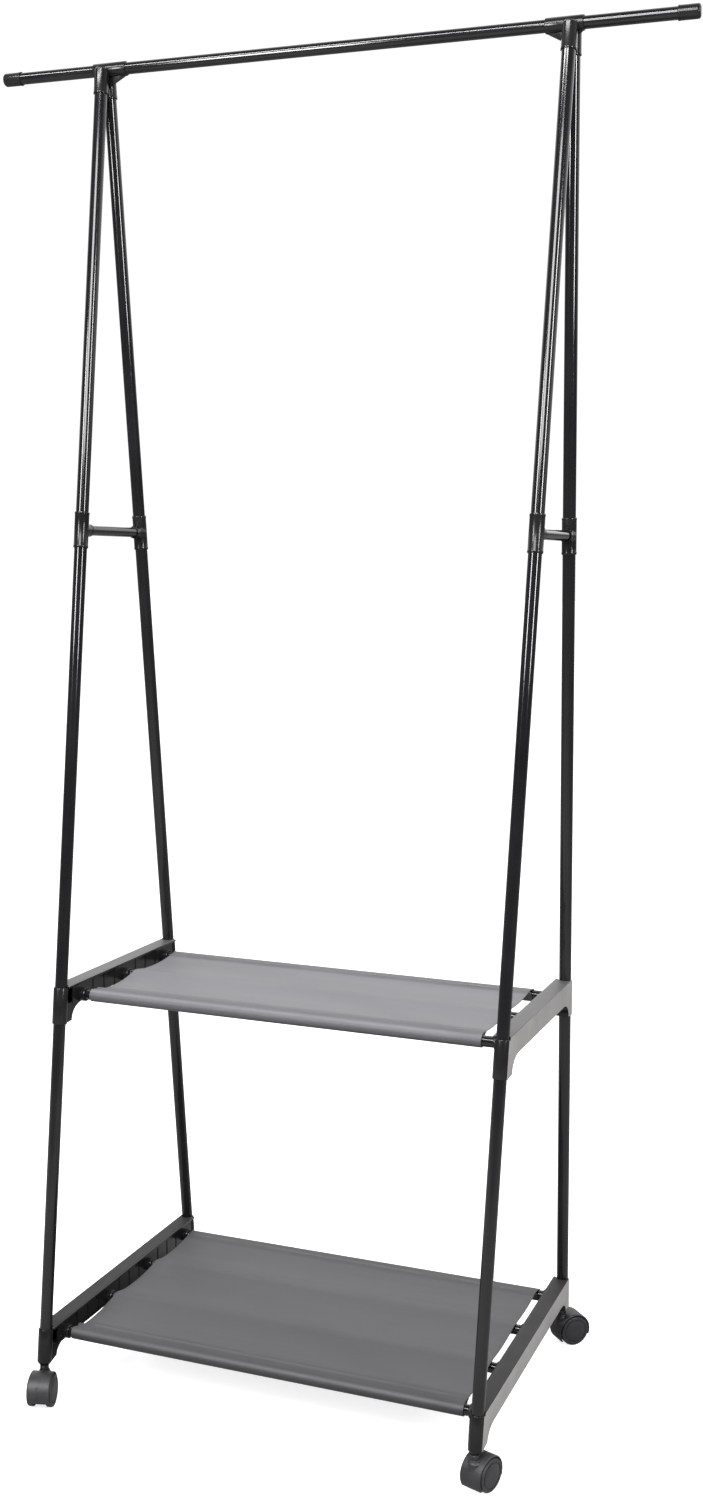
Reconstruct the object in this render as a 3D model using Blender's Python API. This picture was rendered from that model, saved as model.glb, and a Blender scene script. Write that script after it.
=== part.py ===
"""Rolling clothes rack: two leaning A-frames of steel tube, a hanging bar across their tops, two side
rails on each level that carry the shelf rods, a fabric shelf on each set of rods, and four twin-wheel
swivel casters.

Metres, +Z up. The hanging bar runs along X, the front is -Y, and the casters stand on Z = 0.
"""

import math

import bmesh
import bpy
from mathutils import Matrix, Vector

# ---- driving dimensions -------------------------------------------------------------------------------
FRAME_SPACING = 0.555       # between the planes of the two A-frames
BAR_Z = 1.581               # axis of the hanging bar
BAR_OVERALL = 0.825         # hanging bar over its end caps
TOP_HALF_GAP = 0.0075       # leg axis to the bar's vertical plane, at the bar's height
FOOT_HALF_SPREAD = 0.1973   # leg axis to the same plane, at the middle of the low sleeves
FOOT_SLEEVE_Z = 0.070       # middle of the low sleeves

LEG_R = 0.0075
LEG_WALL = 0.0010
BAR_R = 0.0065
BAR_WALL = 0.0009
ROD_R = 0.0065
ROD_WALL = 0.0008
CROSS_R = 0.0060
CROSS_WALL = 0.0008

FIT_GAP = 0.0003            # between a tube and the socket it sits in
END_GAP = 0.0010            # between a tube's end and the socket's floor

# top connectors
COLLAR_WALL = 0.0011
COLLAR_OUT = 0.0135         # collar's reach outside the frame plane
COLLAR_IN = 0.0285
TOP_SOCKET_WALL = 0.0008
TOP_SOCKET_DROP = 0.029     # socket mouth below the bar's axis
TOP_LEG_DROP = 0.0100       # socket floor below the bar's axis
TOP_WEB_T = 0.0030
TOP_WEB_EDGE = 0.0020       # height of a web's free edge
TOP_WEB_INSET = 0.0015      # between a web's free edge and the collar's end
INNER_WEB_DROP = 0.0190     # a web's foot on the sockets, below the bar's axis
OUTER_WEB_DROP = 0.0140
CAP_WALL = 0.00085
CAP_LENGTH = 0.0235
CAP_END_T = 0.0025

# tees at the middle of each leg
TEE_Z = 1.057
TEE_LENGTH = 0.042
TEE_WALL = 0.0009
TEE_BOSS_WALL = 0.0012
TEE_BOSS_REACH = 0.0180
TEE_FLARE = 0.0012

# side rails
MID_RAIL_TOP = 0.516
RAIL_DEPTH = 0.0265         # height of the rail's outer face
RAIL_IN = 0.0120            # rail's reach inside the frame plane
RAIL_WALL = 0.0024
RIB_T = 0.0018
SLEEVE_WALL = 0.0012
SLEEVE_LENGTH = 0.045
SLEEVE_BELOW_TOP = 0.0020   # top of a sleeve below the rail's top
FOOT_REACH = 0.0170         # gusset's width at its foot
ARC_REACH = 0.0250          # how far the gusset's arc runs along the rail
FOOT_RISE = 0.0020          # foot of the gusset above the sleeve's lower end
GUSSET_IN = 0.0005          # gusset's reach inside the frame plane
GUSSET_LAP = 0.0040         # gusset's lap over the outer face
RIB_INSET = 0.0005          # ribs stand back this far from the flange's edge
RIB_RISE = 0.0015           # and this far above the outer face's lower edge

# shelf rods
ROD_PITCH = 0.110
MID_ROD_COUNT = 3
LOW_ROD_COUNT = 4
ROD_DROP = 0.0165           # rod axis below the rail's top
ROD_SOCKET_WALL = 0.0017
ROD_SOCKET_REACH = 0.0175   # socket's reach inside the frame plane
ROD_SOCKET_FLOOR = 0.0025
RIBS_PER_PITCH = 4

# fabric shelves
CLOTH_T = 0.0012
MID_CLOTH_WIDTH = 0.498
MID_CLOTH_SHIFT = -0.007    # the cloth sits this far along +X on its rods
LOW_CLOTH_WIDTH = 0.508
LOW_CLOTH_SHIFT = -0.004
EDGE_BITE = 0.018           # how far the side edge pulls in between two rods
EDGE_BITE_CLEAR = 0.010     # bite starts this far from a rod's axis

# casters
WHEEL_R = 0.0200
WHEEL_SIDES = 24
WHEEL_T = 0.0072
WHEEL_RIM = 0.0055          # width of the rim round the flat disc on the outer face
WHEEL_GROOVE_W = 0.0015
WHEEL_GROOVE_D = 0.0008
WHEEL_CAP_T = 0.0018        # closed outer end of the wheel's bore
TRAIL = 0.0129              # axle behind the swivel axis
HOOD_CLEAR = 0.0012         # between the wheels and the hood
HOOD_WALL = 0.0018
WHEEL_PROUD = 0.0012        # wheels stand this far out of the hood's sides
HOOD_LEAD = math.radians(35)    # hood ends this far below the axle on the swivel side
HOOD_REAR = math.radians(20)    # and on the trailing side
BLOCK_INSET = 0.0040        # hood's middle block stands back this far from the wheels' rims
BLOCK_HALF_W = 0.0075
WHEEL_SIDE_GAP = 0.0005
AXLE_R = 0.0020
BOSS_WALL = 0.0022
BOSS_INSET = 0.0013         # top of the boss below the top of the hood
STEM_R = 0.0040
STEM_LENGTH_IN_BOSS = 0.0153
BOSS_FLOOR_T = 0.0007       # boss below the bore's floor
STEM_GRIP = 0.0190          # stem's length inside the low sleeve
STEM_COLLAR = 0.0015        # collar's reach beyond the stem
SLEEVE_ABOVE_HOOD = 0.00517 # low sleeves' lower ends above the tops of the hoods
STEM_COLLAR_GAP = 0.0004
SLEEVE_CONE = 0.0026        # low sleeve's lower end tapers by this much
SLEEVE_CONE_H = 0.0035

# where each caster trails, counter-clockwise from +X
CASTER_HEADING = {
    "front_left": math.radians(-73.5),
    "front_right": math.radians(71.0),
    "rear_right": math.radians(43.6),
    "rear_left": math.radians(106.5),
}

TUBE_SIDES = 16
BORE_SIDES = 16
ARC_STEPS = 5

WEB_FLANK_SHARE = 0.6       # a web starts this far out in its socket
WEB_UNDER_SHARE = 0.8       # and this far down in the collar
EDGE_BITE_BELOW = 0.002     # the side bites start this far below the rods
DISC_INSET = 0.0004         # middle block's disc is this much narrower on each side
CUT_PAST = 0.020            # a cutter runs past the face by this much


# ---- worked out from them -----------------------------------------------------------------------------
HALF = FRAME_SPACING / 2
COLLAR_R = BAR_R + FIT_GAP + COLLAR_WALL
CAP_R = BAR_R + FIT_GAP + CAP_WALL
TOP_SOCKET_R = LEG_R + FIT_GAP + TOP_SOCKET_WALL
TEE_R = LEG_R + FIT_GAP + TEE_WALL
TEE_BOSS_R = CROSS_R + FIT_GAP + TEE_BOSS_WALL
SLEEVE_R = LEG_R + FIT_GAP + SLEEVE_WALL
SLEEVE_CONE_R = SLEEVE_R - SLEEVE_CONE
ROD_SOCKET_R = ROD_R + FIT_GAP + ROD_SOCKET_WALL
WHEEL_FACE_R = WHEEL_R - WHEEL_RIM
HOOD_R = WHEEL_R + HOOD_CLEAR + HOOD_WALL
HOOD_HALF_W = BLOCK_HALF_W + WHEEL_SIDE_GAP + WHEEL_T - WHEEL_PROUD
BLOCK_R = WHEEL_R - BLOCK_INSET
AXLE_Z = WHEEL_R * math.cos(math.pi / WHEEL_SIDES)
BOSS_R = STEM_R + FIT_GAP + BOSS_WALL
BOSS_TOP = AXLE_Z + HOOD_R - BOSS_INSET
STEM_FOOT = BOSS_TOP - STEM_LENGTH_IN_BOSS
BOSS_FLOOR = STEM_FOOT - END_GAP - BOSS_FLOOR_T
STEM_COLLAR_R = STEM_R + STEM_COLLAR
LOW_SLEEVE_END = AXLE_Z + HOOD_R + SLEEVE_ABOVE_HOOD
LOW_RAIL_TOP = LOW_SLEEVE_END + SLEEVE_LENGTH + SLEEVE_BELOW_TOP
LEAN = math.atan2(FOOT_HALF_SPREAD - TOP_HALF_GAP, BAR_Z - FOOT_SLEEVE_Z)
RAIL_OUT = SLEEVE_R
MID_SLEEVE_Z = MID_RAIL_TOP - SLEEVE_BELOW_TOP - SLEEVE_LENGTH / 2
ROD_LENGTH = 2 * (HALF + RAIL_OUT - ROD_SOCKET_FLOOR - END_GAP)
SIDES = {"left": -1, "right": 1}
ENDS = {"front": -1, "rear": 1}


def leg_y(z):
    """Distance of a leg's axis from the bar's vertical plane at height z."""
    return TOP_HALF_GAP + (BAR_Z - z) * math.tan(LEAN)


STEM_Y = leg_y(LOW_SLEEVE_END)


# ---- small modelling helpers --------------------------------------------------------------------------
def clear_scene():
    for obj in list(bpy.data.objects):
        bpy.data.objects.remove(obj, do_unlink=True)


def material(name, colour, roughness, metallic=0.0):
    made = bpy.data.materials.new(name)
    made.use_nodes = True
    shader = made.node_tree.nodes["Principled BSDF"]
    shader.inputs["Base Color"].default_value = (*colour, 1.0)
    shader.inputs["Roughness"].default_value = roughness
    shader.inputs["Metallic"].default_value = metallic
    return made


def mesh_of(bm, name="shape"):
    """The finished mesh of a bmesh, with its faces turned outwards and its round parts shaded smooth."""
    bmesh.ops.recalc_face_normals(bm, faces=bm.faces)
    mesh = bpy.data.meshes.new(name)
    bm.to_mesh(mesh)
    bm.free()
    mesh.shade_smooth()
    mesh.set_sharp_from_angle(angle=math.radians(30))
    return mesh


def turned(profile, sides, closed=False, phase=0.0):
    """A solid turned round Z from (radius, height) points. A closed profile makes a ring or a tube."""
    bm = bmesh.new()
    rings = []
    for radius, height in profile:
        if radius == 0:
            rings.append([bm.verts.new((0, 0, height))])
            continue
        turn = [2 * math.pi * i / sides + phase for i in range(sides)]
        rings.append([bm.verts.new((radius * math.cos(a), radius * math.sin(a), height)) for a in turn])
    pairs = list(zip(rings, rings[1:]))
    if closed:
        pairs.append((rings[-1], rings[0]))
    for low, high in pairs:
        for i in range(sides):
            j = (i + 1) % sides
            corners = [low[i % len(low)], low[j % len(low)], high[j % len(high)], high[i % len(high)]]
            bm.faces.new(list(dict.fromkeys(corners)))
    return bm


def rod(radius, low, high, sides=BORE_SIDES):
    """A plain solid bar along Z."""
    return turned([(0, low), (radius, low), (radius, high), (0, high)], sides, phase=math.pi / sides)


def tube(radius, wall, low, high):
    inner = radius - wall
    profile = [(inner, low), (radius, low), (radius, high), (inner, high)]
    return turned(profile, TUBE_SIDES, closed=True, phase=math.pi / TUBE_SIDES)


def block(low, high):
    bm = bmesh.new()
    bmesh.ops.create_cube(bm, size=1)
    low, high = Vector(low), Vector(high)
    for vert in bm.verts:
        vert.co = Vector(lo if c < 0 else hi for c, lo, hi in zip(vert.co, low, high))
    return bm


def extruded(outline, low, high, plane="YZ"):
    """A prism: an outline in the YZ plane run along X, or one in the XZ plane run along Y."""
    bm = bmesh.new()
    spot = (lambda u, v, w: (w, u, v)) if plane == "YZ" else (lambda u, v, w: (u, w, v))
    ends = [[bm.verts.new(spot(u, v, w)) for u, v in outline] for w in (low, high)]
    bm.faces.new(ends[0])
    bm.faces.new(ends[1])
    for i in range(len(outline)):
        j = (i + 1) % len(outline)
        bm.faces.new((ends[0][i], ends[0][j], ends[1][j], ends[1][i]))
    return bm


def moved(bm, matrix):
    bmesh.ops.transform(bm, matrix=matrix, verts=bm.verts)
    return bm


def shifted(x, y, z):
    return Matrix.Translation((x, y, z))


ALONG_X = Matrix.Rotation(math.pi / 2, 4, "Y")
ALONG_Y = Matrix.Rotation(-math.pi / 2, 4, "X")


def leaning(end):
    """Turns +Z onto a leg's axis: the legs lean towards the middle as they rise."""
    return Matrix.Rotation(end * LEAN, 4, "X")


def carved(base, add=(), cut=()):
    """One mesh from a base shape, the shapes joined to it and the shapes cut from it."""
    scene = bpy.context.scene.collection
    helpers = [bpy.data.objects.new("helper", mesh_of(bm)) for bm in (base, *add, *cut)]
    for helper in helpers:
        scene.objects.link(helper)
    body, tools = helpers[0], helpers[1:]
    for i, tool in enumerate(tools):
        boolean = body.modifiers.new("cut", "BOOLEAN")
        boolean.operation = "UNION" if i < len(add) else "DIFFERENCE"
        boolean.solver = "MANIFOLD"
        boolean.object = tool
    bpy.context.view_layer.update()
    finished = body.evaluated_get(bpy.context.evaluated_depsgraph_get())
    result = bmesh.new()
    result.from_mesh(finished.to_mesh())
    finished.to_mesh_clear()
    for helper in helpers:
        bpy.data.objects.remove(helper, do_unlink=True)
    bmesh.ops.remove_doubles(result, verts=result.verts, dist=1e-6)
    return result


def piece(name, mesh, finish, location=(0, 0, 0), turn=0.0, tilt=0.0, parent=None):
    """A named piece of the rack. tilt turns it about X before turn turns it about Z."""
    obj = bpy.data.objects.new(name, mesh)
    bpy.context.scene.collection.objects.link(obj)
    if not mesh.materials:
        mesh.materials.append(finish)
    obj.location = location
    obj.rotation_euler = (tilt, 0, turn)
    obj.parent = parent
    return obj


# ---- frame --------------------------------------------------------------------------------------------
def hanging_bar(paint, plastic):
    reach = BAR_OVERALL / 2
    half = reach - CAP_END_T - END_GAP
    bar = mesh_of(moved(tube(BAR_R, BAR_WALL, -half, half), ALONG_X), "hanging_bar")
    piece("hanging_bar", bar, paint, (0, 0, BAR_Z))
    bore = BAR_R + FIT_GAP
    profile = [
        (0, CAP_LENGTH - CAP_END_T),
        (bore, CAP_LENGTH - CAP_END_T),
        (bore, 0),
        (CAP_R, 0),
        (CAP_R, CAP_LENGTH - 0.0030),
        (CAP_R - 0.0008, CAP_LENGTH - 0.0010),
        (CAP_R - 0.0026, CAP_LENGTH),
        (0, CAP_LENGTH),
    ]
    cap = mesh_of(moved(turned(profile, TUBE_SIDES, phase=math.pi / TUBE_SIDES), ALONG_X), "bar_cap")
    for side, sign in SIDES.items():
        turn = 0.0 if sign > 0 else math.pi
        piece(f"bar_cap_{side}", cap, plastic, (sign * (reach - CAP_LENGTH), 0, BAR_Z), turn)


def top_connectors(plastic):
    """A collar round the bar with two leg sockets and two small webs. Its outer end is at +X."""
    collar = moved(rod(COLLAR_R, -COLLAR_IN, COLLAR_OUT), ALONG_X)
    sockets = []
    bores = [moved(rod(BAR_R + FIT_GAP, -0.1, 0.1), ALONG_X)]
    for end in ENDS.values():
        axis = shifted(0, end * TOP_HALF_GAP, 0) @ leaning(end)
        sockets.append(moved(rod(TOP_SOCKET_R, -TOP_SOCKET_DROP / math.cos(LEAN), 0), axis))
        bores.append(moved(rod(LEG_R + FIT_GAP, -0.1, -TOP_LEG_DROP), axis))
    flank = TOP_SOCKET_R * WEB_FLANK_SHARE
    under = -COLLAR_R * WEB_UNDER_SHARE
    webs = []
    for way, reach, drop in ((-1, COLLAR_IN, INNER_WEB_DROP), (1, COLLAR_OUT, OUTER_WEB_DROP)):
        edge = way * (reach - TOP_WEB_INSET)
        lip = (edge, under - TOP_WEB_EDGE)
        outline = [(way * flank, under), (edge, under), lip, (way * flank, -drop)]
        webs.append(extruded(outline, -TOP_WEB_T / 2, TOP_WEB_T / 2, "XZ"))
    connector = mesh_of(carved(collar, sockets + webs, bores), "top_connector")
    for side, sign in SIDES.items():
        turn = 0.0 if sign > 0 else math.pi
        piece(f"top_connector_{side}", connector, plastic, (sign * HALF, 0, BAR_Z), turn)


def leg_runs():
    """The heights between which each leg's three tubes run, from top connector to low sleeve."""
    top = BAR_Z - TOP_LEG_DROP - END_GAP
    foot = LOW_SLEEVE_END + STEM_GRIP + 2 * END_GAP + CAP_END_T
    joints = (TEE_Z, MID_SLEEVE_Z)
    return {
        "upper": (joints[0] + END_GAP, top),
        "middle": (joints[1] + END_GAP, joints[0] - END_GAP),
        "lower": (foot, joints[1] - END_GAP),
    }


def legs(paint):
    for run, (low, high) in leg_runs().items():
        length = (high - low) / math.cos(LEAN)
        leg = mesh_of(tube(LEG_R, LEG_WALL, 0, length), f"{run}_leg")
        for end, front in ENDS.items():
            for side, sign in SIDES.items():
                spot = (sign * HALF, front * leg_y(low), low)
                piece(f"{run}_leg_{end}_{side}", leg, paint, spot, tilt=front * LEAN)


def tees(plastic):
    """A sleeve on the leg with a flared boss for the cross tube. The boss points along +Y."""
    sleeve = moved(rod(TEE_R, -TEE_LENGTH / 2, TEE_LENGTH / 2), leaning(-1))
    flare = [
        (0, 0),
        (TEE_BOSS_R + TEE_FLARE, 0),
        (TEE_BOSS_R + TEE_FLARE, TEE_R),
        (TEE_BOSS_R, TEE_R + 2 * TEE_FLARE),
        (TEE_BOSS_R, TEE_BOSS_REACH),
        (0, TEE_BOSS_REACH),
    ]
    boss = moved(turned(flare, BORE_SIDES, phase=math.pi / BORE_SIDES), ALONG_Y)
    leg_bore = moved(rod(LEG_R + FIT_GAP, -0.1, 0.1), leaning(-1))
    cross_bore = moved(rod(CROSS_R + FIT_GAP, TEE_R + END_GAP, 0.1), ALONG_Y)
    tee = mesh_of(carved(sleeve, [boss], [leg_bore, cross_bore]), "tee")
    for end, front in ENDS.items():
        for side, sign in SIDES.items():
            turn = 0.0 if front < 0 else math.pi
            piece(f"tee_{end}_{side}", tee, plastic, (sign * HALF, front * leg_y(TEE_Z), TEE_Z), turn)


def cross_tubes(paint):
    half = leg_y(TEE_Z) - TEE_R - 2 * END_GAP
    cross = mesh_of(moved(tube(CROSS_R, CROSS_WALL, -half, half), ALONG_Y), "cross_tube")
    for side, sign in SIDES.items():
        piece(f"cross_tube_{side}", cross, paint, (sign * HALF, 0, TEE_Z))


# ---- side rails and shelf rods ------------------------------------------------------------------------
def rod_places(count):
    return [(i - (count - 1) / 2) * ROD_PITCH for i in range(count)]


def gusset_arc(foot_z, low_z):
    """The hollow edge under a rail, from the gusset's foot up to the rail's lower edge, on the +Y side."""
    foot_y = leg_y(foot_z) - FOOT_REACH
    turn = [math.pi / 2 * i / ARC_STEPS for i in range(ARC_STEPS + 1)]
    rise = low_z - foot_z
    return [(foot_y - ARC_REACH * (1 - math.cos(a)), foot_z + rise * math.sin(a)) for a in turn]


def mirrored(points):
    return [(-y, z) for y, z in reversed(points)]


def side_rail(top, rods, is_low):
    """A moulded rail: outer face, top flange, leg sleeves, gussets, ribs and rod sockets. Heights count
    from the rail's top, and +X is the outer side."""
    low = -RAIL_DEPTH
    sleeve_top = -SLEEVE_BELOW_TOP
    sleeve_mid = sleeve_top - SLEEVE_LENGTH / 2
    sleeve_end = sleeve_top - SLEEVE_LENGTH
    foot = sleeve_end + FOOT_RISE + (SLEEVE_CONE_H if is_low else 0)

    arc = [(y, z - top) for y, z in gusset_arc(top + foot, top + low)]
    half_face = [(leg_y(top), 0), (leg_y(top + foot), foot - FOOT_RISE / 2), *arc]
    face = extruded(half_face + mirrored(half_face), RAIL_OUT - RAIL_WALL, RAIL_OUT)
    flange = block((-RAIL_IN, -leg_y(top), -RAIL_WALL), (RAIL_OUT, leg_y(top), 0))

    add = [flange]
    cut = []
    for end in ENDS.values():
        axis = shifted(0, end * leg_y(top + sleeve_mid), sleeve_mid) @ leaning(end)
        half = SLEEVE_LENGTH / 2
        if is_low:
            cone = [(0, -half), (SLEEVE_CONE_R, -half), (SLEEVE_R, SLEEVE_CONE_H - half)]
            profile = [*cone, (SLEEVE_R, half), (0, half)]
            add.append(moved(turned(profile, BORE_SIDES, phase=math.pi / BORE_SIDES), axis))
            floor = STEM_GRIP + END_GAP + CAP_END_T - half
            stem = shifted(0, end * STEM_Y, 0)
            stem_top = sleeve_end + STEM_GRIP + END_GAP
            cut.append(moved(rod(STEM_R + FIT_GAP, sleeve_end - CUT_PAST, stem_top), stem))
        else:
            add.append(moved(rod(SLEEVE_R, -half, half), axis))
            floor = -0.1
        cut.append(moved(rod(LEG_R + FIT_GAP, floor, 0.1), axis))
        gusset = [(leg_y(top + low), low + GUSSET_LAP), (leg_y(top + foot), foot - FOOT_RISE / 2), *arc]
        gusset.append((arc[-1][0], low + GUSSET_LAP))
        outline = gusset if end > 0 else mirrored(gusset)
        add.append(extruded(outline, -GUSSET_IN, RAIL_OUT - RAIL_WALL / 2))

    for y in rods:
        axis = shifted(0, y, -ROD_DROP) @ ALONG_X
        add.append(moved(rod(ROD_SOCKET_R, -ROD_SOCKET_REACH, RAIL_OUT - RAIL_WALL / 2), axis))
        cut.append(moved(rod(ROD_R + FIT_GAP, -0.1, RAIL_OUT - ROD_SOCKET_FLOOR), axis))
    step = ROD_PITCH / RIBS_PER_PITCH
    last = int(arc[-1][0] / step)
    for i in range(-last, last + 1):
        if all(abs(i * step - y) > ROD_SOCKET_R for y in rods):
            near = (RIB_INSET - RAIL_IN, i * step - RIB_T / 2, low + RIB_RISE)
            far = (RAIL_OUT - RAIL_WALL / 2, i * step + RIB_T / 2, -RAIL_WALL / 2)
            add.append(block(near, far))
    return mesh_of(carved(face, add, cut), "low_rail" if is_low else "middle_rail")


def side_rails(plastic):
    for level, top, count, is_low in (
        ("middle", MID_RAIL_TOP, MID_ROD_COUNT, False),
        ("low", LOW_RAIL_TOP, LOW_ROD_COUNT, True),
    ):
        rail = side_rail(top, rod_places(count), is_low)
        for side, sign in SIDES.items():
            turn = 0.0 if sign > 0 else math.pi
            piece(f"{level}_rail_{side}", rail, plastic, (sign * HALF, 0, top), turn)


def shelf_rods(paint):
    half = ROD_LENGTH / 2
    shelf_rod = mesh_of(moved(tube(ROD_R, ROD_WALL, -half, half), ALONG_X), "shelf_rod")
    levels = (("middle", MID_RAIL_TOP, MID_ROD_COUNT), ("low", LOW_RAIL_TOP, LOW_ROD_COUNT))
    for level, top, count in levels:
        for i, y in enumerate(rod_places(count)):
            piece(f"{level}_shelf_rod_{i + 1}", shelf_rod, paint, (0, y, top - ROD_DROP))


# ---- fabric shelves -----------------------------------------------------------------------------------
def shelf_cloth(rods, width):
    """A sewn sleeve round the front and the rear rod, and a deck over all of them. Heights count from
    the rods."""
    low = ROD_R + FIT_GAP
    deck_half = rods[-1]
    deck = block((-width / 2, -deck_half, low), (width / 2, deck_half, low + CLOTH_T))
    hems = []
    cut = []
    for y in (rods[0], rods[-1]):
        hems.append(moved(rod(low + CLOTH_T, -width / 2, width / 2), shifted(0, y, 0) @ ALONG_X))
        cut.append(moved(rod(low, -width, width), shifted(0, y, 0) @ ALONG_X))
    bites = []
    for near, far in zip(rods, rods[1:]):
        reach = (far - near) / 2 - EDGE_BITE_CLEAR
        for sign in (-1, 1):
            oval = Matrix.Diagonal((EDGE_BITE, reach, 1, 1))
            spot = shifted(sign * width / 2, (near + far) / 2, 0)
            bites.append(moved(rod(1, -EDGE_BITE_BELOW, CUT_PAST), spot @ oval))
    return mesh_of(carved(deck, hems, cut + bites), "shelf_cloth")


def shelf_cloths(fabric):
    for level, top, count, width, shift in (
        ("middle", MID_RAIL_TOP, MID_ROD_COUNT, MID_CLOTH_WIDTH, MID_CLOTH_SHIFT),
        ("low", LOW_RAIL_TOP, LOW_ROD_COUNT, LOW_CLOTH_WIDTH, LOW_CLOTH_SHIFT),
    ):
        cloth = shelf_cloth(rod_places(count), width)
        piece(f"{level}_shelf_fabric", cloth, fabric, (shift, 0, top - ROD_DROP))


# ---- casters ------------------------------------------------------------------------------------------
def stem_mesh():
    """The fixed pin. Its lower end is in the hood's boss and its upper end in the low sleeve."""
    collar_top = LOW_SLEEVE_END - SLEEVE_CONE_R * math.sin(LEAN) - STEM_COLLAR_GAP
    profile = [
        (0, STEM_FOOT),
        (STEM_R, STEM_FOOT),
        (STEM_R, BOSS_TOP + STEM_COLLAR_GAP),
        (STEM_COLLAR_R, BOSS_TOP + STEM_COLLAR_GAP),
        (STEM_COLLAR_R, collar_top),
        (STEM_R, collar_top),
        (STEM_R, LOW_SLEEVE_END + STEM_GRIP),
        (0, LOW_SLEEVE_END + STEM_GRIP),
    ]
    return mesh_of(turned(profile, BORE_SIDES, phase=math.pi / BORE_SIDES), "stem")


def sector(radius, steps=14):
    """The hood's outline round the axle, as (along the trail, height) points from lead end to rear end."""
    start, stop = math.pi + HOOD_LEAD, -HOOD_REAR
    turn = [start + (stop - start) * i / steps for i in range(steps + 1)]
    return [(radius * math.cos(a), radius * math.sin(a)) for a in turn]


def hood_mesh():
    """The cover over both wheels with its middle block. Its swivel axis is local Z, its trail +X."""
    shell = sector(HOOD_R) + sector(HOOD_R - HOOD_WALL)[::-1]
    cover = extruded(shell, -HOOD_HALF_W, HOOD_HALF_W, "XZ")
    core = extruded(sector(HOOD_R - HOOD_WALL / 2) + [(0, 0)], -BLOCK_HALF_W, BLOCK_HALF_W, "XZ")
    disc_half = BLOCK_HALF_W - DISC_INSET
    disc = moved(rod(BLOCK_R, -disc_half, disc_half), ALONG_Y)
    axle_bore = moved(rod(AXLE_R + FIT_GAP, -0.1, 0.1), ALONG_Y)
    to_axle = shifted(TRAIL, 0, AXLE_Z)
    add = [moved(bm, to_axle) for bm in (core, disc)]
    add.append(rod(BOSS_R, BOSS_FLOOR, BOSS_TOP))
    cut = [moved(axle_bore, to_axle), rod(STEM_R + FIT_GAP, STEM_FOOT - END_GAP, 0.1)]
    return mesh_of(carved(moved(cover, to_axle), add, cut), "hood")


def axle_mesh():
    half = BLOCK_HALF_W + WHEEL_SIDE_GAP + WHEEL_T - WHEEL_CAP_T - END_GAP
    return mesh_of(moved(rod(AXLE_R, -half, half, 12), ALONG_Y), "axle")


def wheel_mesh():
    """A wheel with a blind bore. Its outer face, at +Z here, has a flat disc inside a groove."""
    bore = AXLE_R + FIT_GAP
    groove = WHEEL_FACE_R + WHEEL_GROOVE_W
    profile = [
        (0, WHEEL_T - WHEEL_CAP_T),
        (bore, WHEEL_T - WHEEL_CAP_T),
        (bore, 0),
        (WHEEL_R, 0),
        (WHEEL_R, WHEEL_T),
        (groove, WHEEL_T),
        (groove, WHEEL_T - WHEEL_GROOVE_D),
        (WHEEL_FACE_R, WHEEL_T - WHEEL_GROOVE_D),
        (WHEEL_FACE_R, WHEEL_T),
        (0, WHEEL_T),
    ]
    return mesh_of(moved(turned(profile, WHEEL_SIDES, phase=math.pi / WHEEL_SIDES), ALONG_Y), "wheel")


def casters(steel, plastic, tread):
    stem, hood, axle, wheel = stem_mesh(), hood_mesh(), axle_mesh(), wheel_mesh()
    inner = BLOCK_HALF_W + WHEEL_SIDE_GAP
    for end, front in ENDS.items():
        for side, sign in SIDES.items():
            place = f"{end}_{side}"
            swivel = bpy.data.objects.new(f"caster_{place}", None)
            bpy.context.scene.collection.objects.link(swivel)
            swivel.location = (sign * HALF, front * STEM_Y, 0)
            swivel.rotation_euler = (0, 0, CASTER_HEADING[place])
            piece(f"caster_stem_{place}", stem, steel, (sign * HALF, front * STEM_Y, 0))
            piece(f"caster_hood_{place}", hood, plastic, parent=swivel)
            piece(f"caster_axle_{place}", axle, steel, (TRAIL, 0, AXLE_Z), parent=swivel)
            for letter, way, turn in (("a", 1, 0.0), ("b", -1, math.pi)):
                spot = (TRAIL, way * inner, AXLE_Z)
                piece(f"caster_wheel_{letter}_{place}", wheel, tread, spot, turn, parent=swivel)


def main():
    clear_scene()
    paint = material("black_paint", (0.012, 0.012, 0.013), 0.22)
    plastic = material("black_plastic", (0.016, 0.016, 0.017), 0.38)
    fabric = material("grey_fabric", (0.235, 0.235, 0.250), 0.85)
    steel = material("zinc_steel", (0.42, 0.42, 0.43), 0.35, 1.0)
    tread = material("caster_plastic", (0.020, 0.020, 0.021), 0.45)

    hanging_bar(paint, plastic)
    top_connectors(plastic)
    legs(paint)
    tees(plastic)
    cross_tubes(paint)
    side_rails(plastic)
    shelf_rods(paint)
    shelf_cloths(fabric)
    casters(steel, plastic, tread)


main()
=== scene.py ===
"""The looks of a rolling clothes rack.

Glossy steel tube, moulded black plastic and two grey fabric shelves, round the frame that the CAD gives.
"""

import math

import bmesh
import bpy
from mathutils import Matrix, Vector


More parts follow.
